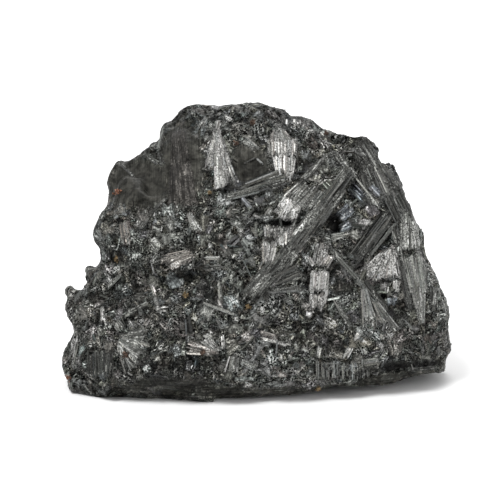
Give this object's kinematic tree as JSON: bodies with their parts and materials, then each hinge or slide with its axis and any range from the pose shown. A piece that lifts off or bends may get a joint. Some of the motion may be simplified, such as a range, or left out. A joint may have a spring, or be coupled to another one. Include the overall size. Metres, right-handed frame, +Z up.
{
  "type": "manganese ore lump",
  "caption": "Hand-sized lump of steel-gray manganese ore with bladed, fibrous crystals, broken on all sides, resting on its flat underside.",
  "frame": {"origin": "centre of the footprint box, on the plane the stone rests on", "axes": "+Z up, +X to the right along the broad crystalline face, +Y away from that face into the stone"},
  "size_m": [0.1106, 0.07, 0.0779],
  "materials": {
    "manganese_ore": "dark steel-gray submetallic crystal with silvery cleavage faces, rough"
  },
  "bodies": {
    "root": {"ore_lump": "manganese_ore"}
  },
  "joints": []
}
